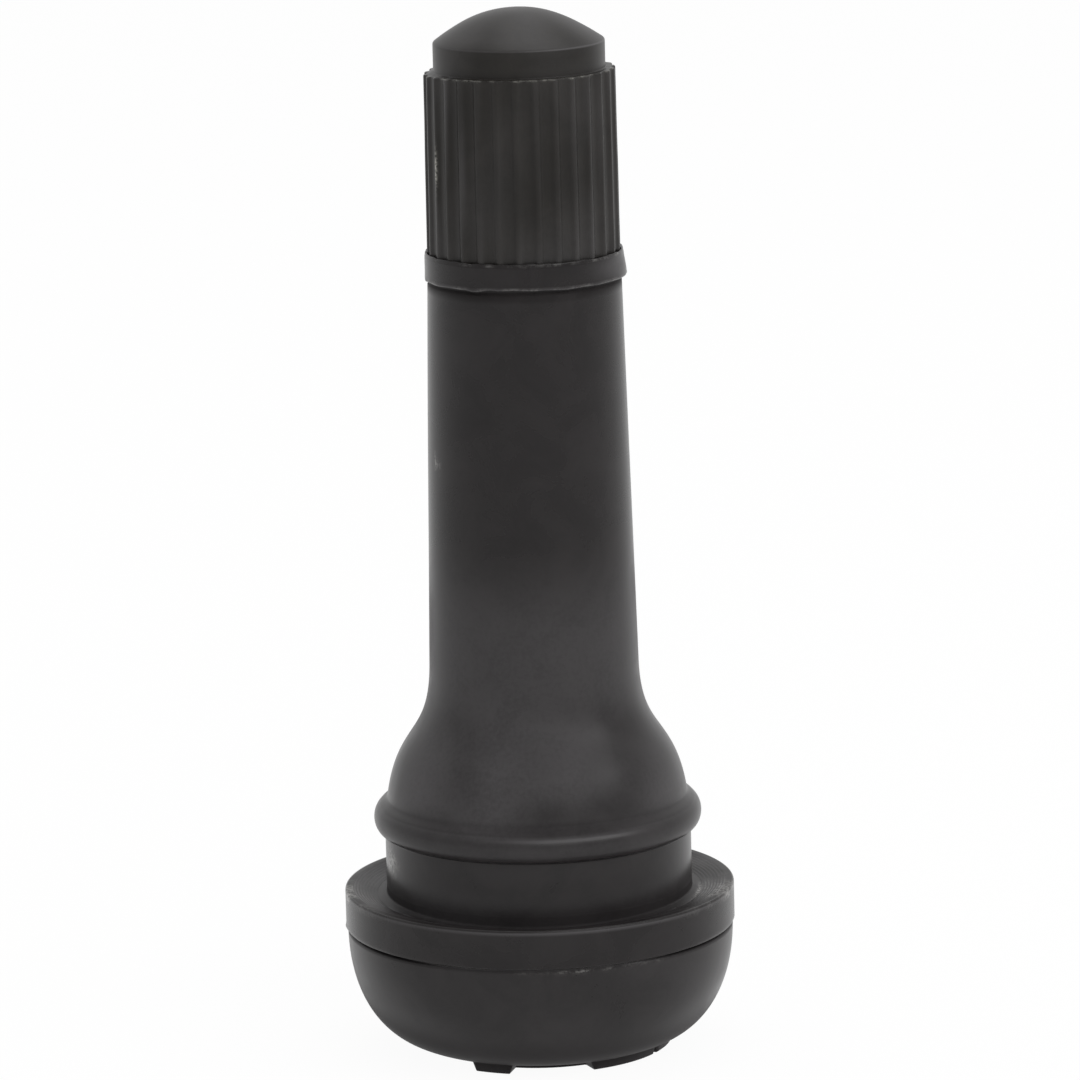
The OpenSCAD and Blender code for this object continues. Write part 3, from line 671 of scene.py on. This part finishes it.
def cap_rise(r, z, a, inner, on_dome):
    """The ledge is low on the left, and the dome is fuller there and a little flat on top: the moved z."""
    ledge = ~inner * bell(z, LEDGE_Z, 0.3) * smooth_step(CROWN_R, CROWN_R + 0.3, r)
    fuller = bell(r, 2.6, 1.3) * (DOME_FULL - DOME_LEAN * np.cos(a)) - DOME_FLAT * bell(r, 0, 1.0)
    return z - ledge * LEDGE_DROP * bell(front_angle(a), -90, 40) + on_dome * fuller


def cap_marks(r, z, a, inner, skirt, on_dome):
    """Flecks on the ledge, one scratch, pale lines on the ribs and round the dome, and dust: the line round
    the dome is a painted highlight, brighter to the right, the lines on the ribs are wear and, lighter
    towards both sides, painted highlight, and the dust is lighter at the dome's front as a painted highlight.
    """
    front = front_angle(a)
    ledge = bell(z, LEDGE_Z - 0.02, 0.05) * smooth_step(CROWN_R + 0.22, CROWN_R + 0.32, r)
    ledge = 0.55 * ledge * ragged(a, seed=41, turns=45, base=0.25, gain=0.6)
    scratch = skirt * spots(front, z, SCRATCH)
    # a painted highlight round the dome's rim, brighter to the right
    rim_highlight = bell(z, CROWN_Z - 0.02, 0.05) * (r > CROWN_R - 0.1) * (0.35 + 0.45 * smooth_step(0, 50, front))
    crest = skirt * (1 - rib_groove(a)) * mottled(a, z, 0.3, 0.4, seed=49, turns=60, cycles=0.15)
    # worn rib crests, lighter towards both sides as painted highlight
    crest = crest * (0.1 + 0.3 * smooth_step(15, 50, np.abs(front)))
    # noise round the axis would make a star at the dome's middle
    off_middle = smooth_step(0.3, 2.4, r)
    cloud = 0.28 + 0.20 * waves(a, r, seed=53, turns=3, cycles=0.3) * off_middle
    # a painted highlight: the dome is lighter at its front near the rim
    cloud = cloud + 0.2 * bell(front, 3, 25) * smooth_step(2.2, 3.6, r)
    dust = 0.11 + 0.12 * waves(a, z, seed=51, turns=6, cycles=0.15) * off_middle + on_dome * cloud
    return {"flash": np.clip(ledge + scratch, 0, 1), "ring": np.clip(rim_highlight + crest, 0, 1),
            "dust_and_sheen": np.clip(dust, 0, 1) * ~inner, "matte": 0 * dust}


def cap_shape(r, z, a):
    """The cap's ribs, thread and uneven top, and its marks."""
    inner = (r < CAP_BORE_R + 0.01) & (np.abs(z - dome_z(r)) > 0.1)
    skirt = ~inner & (z < LEDGE_Z + 0.01)
    on_dome = smooth_step(CROWN_Z + 0.02, CROWN_Z + 0.12, z) * ~inner
    r = cap_radius(r, z, a, inner, skirt)
    marks = cap_marks(r, z, a, inner, skirt, on_dome)
    return r, cap_rise(r, z, a, inner, on_dome), marks


# The turned brass stem and the core

def stem_outline():
    """The stem from its foot up the outside, and down the tapped hole, the seat and the bore."""
    thread_foot, thread_top = THREAD_Z + 0.4, TIP_Z - TIP_CHAMFER
    tap_top, tap_foot = TIP_Z - 0.25, SEAT_TOP + 0.1
    outside = rounded([(BORE_R, STEM_Z, 0)] + stem_corners(0, THREAD_R, thread_foot, 0.06), 2)
    thread = spread([(THREAD_R, thread_foot), (THREAD_R, thread_top)], CAP_PITCH / 11)
    tip = rounded([(THREAD_R, thread_top, 0), (THREAD_R - TIP_CHAMFER, TIP_Z, 0.06),
                   (TAP_R + 0.25, TIP_Z, 0.05), (TAP_R, tap_top, 0)], 3)
    tapped = spread([(TAP_R, tap_top), (TAP_R, tap_foot)], CORE_PITCH / 9)
    seat = rounded([(TAP_R, tap_foot, 0), (TAP_R, SEAT_TOP, 0.03), (SEAT_TOP_R, SEAT_TOP, 0.04),
                    (BORE_R, SEAT_Z, 0.1), (BORE_R, STEM_Z + 0.3, 0)], 3)
    foot = [(BORE_R, STEM_Z + 0.1)]
    return joined(spread(outside, 1.0), thread, spread(tip, 0.15), tapped, spread(seat, 1.5), foot)


def stem_shape(r, z, a):
    """The thread outside, with its chamfered lead, and the tapped one inside."""
    outer = (r > THREAD_R - 0.01) & (z > THREAD_Z + 0.1)
    fade = smooth_step(THREAD_Z + 0.2, THREAD_Z + 1.2, z)
    cut = CAP_RIDGE * (1 - ridge(z, a, CAP_PITCH)) * fade
    lead = smooth_step(TIP_Z - TIP_CHAMFER - 0.001, TIP_Z, z)
    chamfer = (z > TIP_Z - TIP_CHAMFER - 0.001) & (r > THREAD_R - TIP_CHAMFER - 0.05)
    r_thread = np.where(outer, r - cut, np.where(chamfer, r - cut * (1 - lead) * 0.9, r))
    inner = (np.abs(r - TAP_R) < 0.001) & (z > SEAT_TOP + 0.05) & (z < TIP_Z - 0.2)
    fade_in = zone(z, SEAT_TOP + 0.1, SEAT_TOP + 0.6, TIP_Z - 0.8, TIP_Z - 0.25)
    tap = CORE_RIDGE * (1 - ridge(z, a, CORE_PITCH)) * fade_in
    return np.where(inner, r - tap, r_thread), z, {}


def plug_outline():
    """The plug's threaded ring, with the room inside for the barrel's crimped head."""
    outside = rounded([(CRIMP_R, PLUG_Z, 0), (PLUG_R - PLUG_CHAMFER, PLUG_Z, 0.03),
                       (PLUG_R, PLUG_Z + PLUG_CHAMFER, 0.03)], 2)
    thread = spread([(PLUG_R, PLUG_Z + 0.14), (PLUG_R, PLUG_RING_TOP - 0.14)], CORE_PITCH / 11)
    inside = rounded([(PLUG_R, PLUG_RING_TOP - PLUG_CHAMFER, 0.03),
                      (PLUG_R - PLUG_CHAMFER, PLUG_RING_TOP, 0.03),
                      (PLUG_BORE_R, PLUG_RING_TOP, 0.04), (PLUG_BORE_R, HEAD_BORE_TOP, 0.03),
                      (HEAD_BORE_R, HEAD_BORE_TOP, 0.03), (HEAD_BORE_R, CRIMP_TOP, 0.03),
                      (CRIMP_R, CRIMP_TOP, 0.03), (CRIMP_R, PLUG_Z + 0.02, 0)], 2)
    return joined(outside, thread, spread(inside, 0.5))


def plug_shape(r, z, a):
    """The plug's thread, faded out at both ends."""
    threaded = r > PLUG_R - 0.01
    fade = zone(z, PLUG_Z + 0.1, PLUG_Z + 0.4, PLUG_RING_TOP - 0.4, PLUG_RING_TOP - 0.1)
    cut = (CORE_RIDGE + CORE_PLAY - 0.05) * (1 - ridge(z, a, CORE_PITCH)) * fade
    return np.where(threaded, r - cut, r), z, {}


def bridge_outline():
    """The bridge as a disc round the pin's hole, rooted in the ring."""
    root = PLUG_RING_TOP - 0.4
    line = rounded([(PIN_HOLE_R, root, 0), (BRIDGE_R, root, 0.02),
                    (BRIDGE_R, PLUG_TOP, 0.10), (PIN_HOLE_R, PLUG_TOP, 0.06),
                    (PIN_HOLE_R, PLUG_RING_TOP - 0.3, 0)], 4)
    return joined(spread(line, 0.3))


def bridge_shape(r, z, a):
    """A round disc made into a bar across the plug."""
    reach = np.minimum(BRIDGE_R, BRIDGE_HALF_W / np.maximum(np.abs(np.sin(a)), 1e-6))
    return PIN_HOLE_R + (r - PIN_HOLE_R) * (reach - PIN_HOLE_R) / (BRIDGE_R - PIN_HOLE_R), z, {}


def spring_shell(sides=14, per_turn=40):
    """A round wire on a helix with a closed turn at each end."""
    rings = SPRING_TURNS * per_turn
    turn = np.arange(rings + 1) / per_turn
    wire = 2 * WIRE_R
    rise = SPRING_RISE - wire
    pitch = (rise - 2 * wire) / (SPRING_TURNS - 2)
    lift = np.where(turn < 1, turn * wire, wire + (turn - 1) * pitch)
    lift = np.where(turn > SPRING_TURNS - 1, rise - (SPRING_TURNS - turn) * wire, lift)
    a = 2 * math.pi * turn[:, None]
    b = even_angles(sides)[None, :]
    r = SPRING_R + WIRE_R * np.cos(b)
    z = SPRING_Z + WIRE_R + lift[:, None] + WIRE_R * np.sin(b)
    points = np.stack([r * np.cos(a), r * np.sin(a), z + 0 * a], axis=-1).reshape(-1, 3)
    faces = []
    for i in range(rings):
        for k in range(sides):
            n = (k + 1) % sides
            faces.append((i * sides + k, (i + 1) * sides + k, (i + 1) * sides + n, i * sides + n))
    faces.append(tuple(range(sides)))
    faces.append(tuple(reversed([rings * sides + k for k in range(sides)])))
    return points, faces, {}


# Materials

class Graph:
    """A material's nodes, made and joined one by one."""

    def __init__(self, name):
        self.material = bpy.data.materials.new(name)
        self.material.use_nodes = True
        self.tree = self.material.node_tree
        self.shader = self.tree.nodes["Principled BSDF"]
        self.place = self.node("ShaderNodeTexCoord").outputs["Object"]

    def node(self, kind, inputs=None, **settings):
        """A new node with its settings, and its inputs set or linked."""
        made = self.tree.nodes.new(kind)
        for key, value in settings.items():
            setattr(made, key, value)
        for key, value in (inputs or {}).items():
            self.put(made.inputs[key], value)
        return made

    def put(self, socket, value):
        """Links an output to an input, or sets the input to a value."""
        if isinstance(value, bpy.types.NodeSocket):
            self.tree.links.new(value, socket)
        else:
            socket.default_value = value

    def set(self, **values):
        """Sets the shader's inputs by name, with _ for a space."""
        for key, value in values.items():
            self.put(self.shader.inputs[key.replace("_", " ")], value)

    def noise(self, size_mm, detail=3.0, rough=0.55, stretch=None, warp=0.0):
        """Noise with features of about size_mm."""
        place = self.place
        if stretch:
            place = self.node("ShaderNodeMapping", {"Vector": place, "Scale": stretch}).outputs["Vector"]
        made = self.node("ShaderNodeTexNoise", {"Vector": place, "Scale": 1 / (size_mm * MM),
                                                "Detail": detail, "Roughness": rough, "Distortion": warp})
        return made.outputs["Fac"]

    def span(self, value, low, high, to_low=0.0, to_high=1.0):
        """A smooth ramp from one range to another."""
        made = self.node("ShaderNodeMapRange", {"Value": value, "From Min": low, "From Max": high,
                                                "To Min": to_low, "To Max": to_high},
                         interpolation_type="SMOOTHSTEP")
        return made.outputs["Result"]

    def times(self, a, b):
        return self.node("ShaderNodeMath", {0: a, 1: b}, operation="MULTIPLY").outputs[0]

    def plus(self, a, b):
        return self.node("ShaderNodeMath", {0: a, 1: b}, operation="ADD").outputs[0]

    def mark(self, name):
        """A mark of the mesh, 0 to 1."""
        return self.node("ShaderNodeAttribute", attribute_name=name).outputs["Fac"]

    def blend(self, share, a, b):
        """Colour a, with a share of colour b."""
        made = self.node("ShaderNodeMix", data_type="RGBA")
        self.put(made.inputs["Factor"], share)
        self.put(made.inputs[6], a)
        self.put(made.inputs[7], b)
        return made.outputs[2]

    def bump(self, height, depth_mm):
        """Fine relief, depth_mm deep."""
        made = self.node("ShaderNodeBump", {"Height": height, "Distance": depth_mm * MM, "Strength": 1.0})
        return made.outputs["Normal"]


def rgb(r, g, b):
    """An opaque colour, in linear light."""
    return (r, g, b, 1.0)


def moulded_black(name, dark, light, fleck, dust, dust_share, rough, gloss):
    """Black moulded rubber or plastic: cloudy, dusty where marked, with pale flecks at its edges, and with
    painted sheen and painted highlight lines in the dust colour where marked.

    rough: the roughness where it is clean and where it is dusty."""
    g = Graph(name)
    cloud = g.span(g.noise(2.6, detail=5.0, rough=0.6, warp=0.6), 0.30, 0.72)
    grain = g.noise(0.22, detail=3.0, rough=0.6)
    colour = g.blend(cloud, dark, light)
    # the dust mark also carries painted sheen
    dust_and_sheen = g.times(g.mark("dust_and_sheen"), g.span(g.plus(g.times(cloud, 0.25), grain), 0.3, 0.8, 0.75, 1.0))
    colour = g.blend(g.times(dust_and_sheen, dust_share), colour, dust)
    # the ring mark carries worn lines and painted highlight lines, in the dust colour
    colour = g.blend(g.times(g.mark("ring"), 0.75), colour, dust)
    chips = g.span(g.noise(0.16, detail=3.0, rough=0.6), 0.36, 0.62)
    colour = g.blend(g.times(g.mark("flash"), chips), colour, fleck)
    g.set(Base_Color=colour)
    matte = g.mark("matte")
    g.set(Roughness=g.span(g.plus(g.plus(dust_and_sheen, matte), g.times(cloud, 0.2)), 0.0, 1.2, *rough))
    g.set(Specular_IOR_Level=g.span(matte, 0.0, 1.0, gloss, 0.3 * gloss), Metallic=0.0)
    g.set(Normal=g.bump(g.noise(0.5, detail=3.0, rough=0.5), 0.0012))
    return g.material


def brass_look():
    """Turned brass with stains and tool lines."""
    g = Graph("turned_brass")
    tone = g.span(g.noise(1.6, detail=5.0, rough=0.6, warp=0.5), 0.3, 0.72)
    colour = g.blend(tone, rgb(0.50, 0.33, 0.125), rgb(0.60, 0.42, 0.17))
    stain = g.span(g.noise(0.7, detail=6.0, rough=0.65, warp=1.0), 0.56, 0.76)
    colour = g.blend(g.times(stain, 0.5), colour, rgb(0.24, 0.13, 0.05))
    lines = g.noise(0.12, detail=2.0, rough=0.6, stretch=(0.05, 0.05, 1.0))
    g.set(Base_Color=colour, Metallic=1.0)
    g.set(Roughness=g.span(g.plus(g.times(lines, 0.6), g.times(stain, 0.4)), 0.2, 0.8, 0.22, 0.42))
    g.set(Normal=g.bump(lines, 0.002))
    return g.material


def steel_look():
    """Drawn spring wire."""
    g = Graph("drawn_wire")
    tone = g.span(g.noise(0.4, detail=4.0, rough=0.6), 0.3, 0.7)
    g.set(Base_Color=g.blend(tone, rgb(0.36, 0.36, 0.37), rgb(0.52, 0.52, 0.53)), Metallic=1.0)
    g.set(Roughness=g.span(tone, 0.0, 1.0, 0.25, 0.4))
    g.set(Normal=g.bump(g.noise(0.08, detail=2.0), 0.001))
    return g.material


def hard_seal_look():
    """A waxy pale plastic."""
    g = Graph("waxy_seal")
    tone = g.span(g.noise(0.6, detail=4.0, rough=0.6), 0.3, 0.7)
    g.set(Base_Color=g.blend(tone, rgb(0.62, 0.57, 0.49), rgb(0.72, 0.68, 0.60)))
    g.set(Roughness=g.span(tone, 0.0, 1.0, 0.38, 0.5), Specular_IOR_Level=0.4)
    g.set(Normal=g.bump(g.noise(0.15, detail=3.0), 0.002))
    return g.material


def soft_seal_look():
    """Soft dark rubber."""
    g = Graph("soft_seal")
    tone = g.span(g.noise(0.8, detail=5.0, rough=0.6), 0.3, 0.7)
    g.set(Base_Color=g.blend(tone, rgb(0.038, 0.030, 0.027), rgb(0.060, 0.048, 0.043)))
    g.set(Roughness=g.span(tone, 0.0, 1.0, 0.6, 0.75), Specular_IOR_Level=0.3)
    g.set(Normal=g.bump(g.noise(0.1, detail=3.0), 0.003))
    return g.material


# The studio

WHITE = rgb(1.0, 1.0, 1.0)
FLOOR_SIDE_M = 12.0
FLOOR_DROP_M = 0.00001
FLOOR_COLOUR = rgb(0.90, 0.90, 0.90)
FLOOR_WHITE_SHARE = 0.95
FRONT_LEVEL = 0.36
BACK_LEVEL = 0.94


def background_rays(tree):
    """1 for the rays that see the backdrop itself: camera, glossy and transmission."""
    path = tree.nodes.new("ShaderNodeLightPath")
    seen = path.outputs["Is Camera Ray"]
    for kind in ("Is Glossy Ray", "Is Transmission Ray"):
        either = tree.nodes.new("ShaderNodeMath")
        either.operation = "MAXIMUM"
        tree.links.new(seen, either.inputs[0])
        tree.links.new(path.outputs[kind], either.inputs[1])
        seen = either.outputs[0]
    return seen


def make_world():
    """A white studio that is dimmer on the camera's side."""
    world = bpy.data.worlds.new("studio")
    bpy.context.scene.world = world
    world.use_nodes = True
    tree = world.node_tree
    tree.nodes.clear()
    new, link = tree.nodes.new, tree.links.new
    place = new("ShaderNodeTexCoord")
    split = new("ShaderNodeSeparateXYZ")
    link(place.outputs["Generated"], split.inputs[0])
    level = new("ShaderNodeMapRange")
    level.inputs["From Min"].default_value = -1.0
    level.inputs["From Max"].default_value = 1.0
    level.inputs["To Min"].default_value = FRONT_LEVEL
    level.inputs["To Max"].default_value = BACK_LEVEL
    link(split.outputs["Y"], level.inputs["Value"])
    shade = new("ShaderNodeBackground")
    shade.inputs["Color"].default_value = WHITE
    link(level.outputs["Result"], shade.inputs["Strength"])
    out = new("ShaderNodeOutputWorld")
    link(shade.outputs[0], out.inputs["Surface"])


def make_floor():
    """A pale floor that reads as white to the camera and still takes the shadow."""
    half = FLOOR_SIDE_M / 2
    mesh = bpy.data.meshes.new("floor")
    corners = [(-half, -half), (half, -half), (half, half), (-half, half)]
    mesh.from_pydata([(x, y, -FLOOR_DROP_M) for x, y in corners], [], [(0, 1, 2, 3)])
    floor = bpy.data.objects.new("floor", mesh)
    bpy.context.scene.collection.objects.link(floor)
    material = bpy.data.materials.new("floor")
    material.use_nodes = True
    tree = material.node_tree
    tree.nodes.clear()
    matte = tree.nodes.new("ShaderNodeBsdfDiffuse")
    matte.inputs["Color"].default_value = FLOOR_COLOUR
    white = tree.nodes.new("ShaderNodeEmission")
    white.inputs["Strength"].default_value = 1.0
    seen = background_rays(tree)
    share = tree.nodes.new("ShaderNodeMath")
    share.operation = "MULTIPLY"
    share.inputs[1].default_value = FLOOR_WHITE_SHARE
    tree.links.new(seen, share.inputs[0])
    mix = tree.nodes.new("ShaderNodeMixShader")
    tree.links.new(share.outputs[0], mix.inputs[0])
    tree.links.new(matte.outputs[0], mix.inputs[1])
    tree.links.new(white.outputs[0], mix.inputs[2])
    out = tree.nodes.new("ShaderNodeOutputMaterial")
    tree.links.new(mix.outputs[0], out.inputs["Surface"])
    mesh.materials.append(material)


def make_lamp(name, at, target, size, power):
    """A softbox, in metres and watts, turned to its target."""
    data = bpy.data.lights.new(name, "AREA")
    data.shape = "RECTANGLE"
    data.size, data.size_y = size
    data.energy = power
    lamp = bpy.data.objects.new(name, data)
    bpy.context.scene.collection.objects.link(lamp)
    lamp.location = at
    lamp.rotation_euler = (Vector(target) - Vector(at)).to_track_quat("-Z", "Y").to_euler()


def make_camera():
    """The photograph's camera."""
    data = bpy.data.cameras.new("camera")
    data.sensor_fit = "HORIZONTAL"
    data.sensor_width = SENSOR_MM
    data.lens = FOCAL_PX / PHOTO_PX * SENSOR_MM
    data.clip_start = 0.01
    data.clip_end = 100.0
    camera = bpy.data.objects.new("camera", data)
    bpy.context.scene.collection.objects.link(camera)
    turn = (Matrix.Rotation(CAMERA_YAW, 4, "Z") @ Matrix.Rotation(math.pi / 2 - CAMERA_PITCH, 4, "X")
            @ Matrix.Rotation(CAMERA_ROLL, 4, "Z"))
    camera.matrix_world = Matrix.Translation(CAMERA_AT) @ turn
    bpy.context.scene.camera = camera


# The part

make_camera()
make_world()
make_floor()
make_lamp("overhead", at=(0.04, 0.13, 0.62), target=(0, 0, 0.03), size=(0.40, 0.40), power=0.9)
make_lamp("softbox", at=(0.249, -0.319, 0.314), target=(0, 0, 0.02), size=(0.62, 0.18), power=1.15)

rubber = moulded_black("rubber", dark=rgb(0.0132, 0.0115, 0.0117), light=rgb(0.0195, 0.0171, 0.0174),
                       fleck=rgb(0.38, 0.37, 0.355), dust=rgb(0.095, 0.0905, 0.0935), dust_share=0.80,
                       rough=(0.27, 0.55), gloss=0.225)
cap_plastic = moulded_black("cap_plastic", dark=rgb(0.0160, 0.0145, 0.0130),
                            light=rgb(0.0226, 0.0205, 0.0185), fleck=rgb(0.38, 0.37, 0.335),
                            dust=rgb(0.130, 0.126, 0.130), dust_share=0.60, rough=(0.36, 0.55), gloss=0.175)
brass = brass_look()
steel = steel_look()
hard_seal = hard_seal_look()
soft_seal = soft_seal_look()

piece("rubber_moulding", rubber, "stem", "rubber", ["rubber_body"],
      turned(rubber_outline(), rubber_angles(), rubber_shape))
piece("dust_cap_moulding", cap_plastic, "cap", "cap_plastic", ["dust_cap"],
      turned(cap_outline(), cap_angles(), cap_shape))
piece("threaded_stem", brass, "stem", "brass", ["brass_stem"],
      turned(stem_outline(), even_angles(160), stem_shape))
piece("threaded_plug", brass, "plug", "brass", ["core_plug"],
      turned(plug_outline(), even_angles(120), plug_shape),
      turned(bridge_outline(), even_angles(120), bridge_shape))
spring = piece("coil_spring", steel, "core", "spring_steel", ["core_spring"], spring_shell())
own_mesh(spring)

for node, material in (("core_barrel", brass), ("core_pin", brass), ("plunger_cup", brass),
                       ("barrel_gasket", hard_seal), ("plunger_seal", soft_seal), ("cap_seal", soft_seal)):
    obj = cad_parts[node]
    obj.data.materials.clear()
    obj.data.materials.append(material)

view = bpy.context.scene.view_settings
view.view_transform = "Standard"
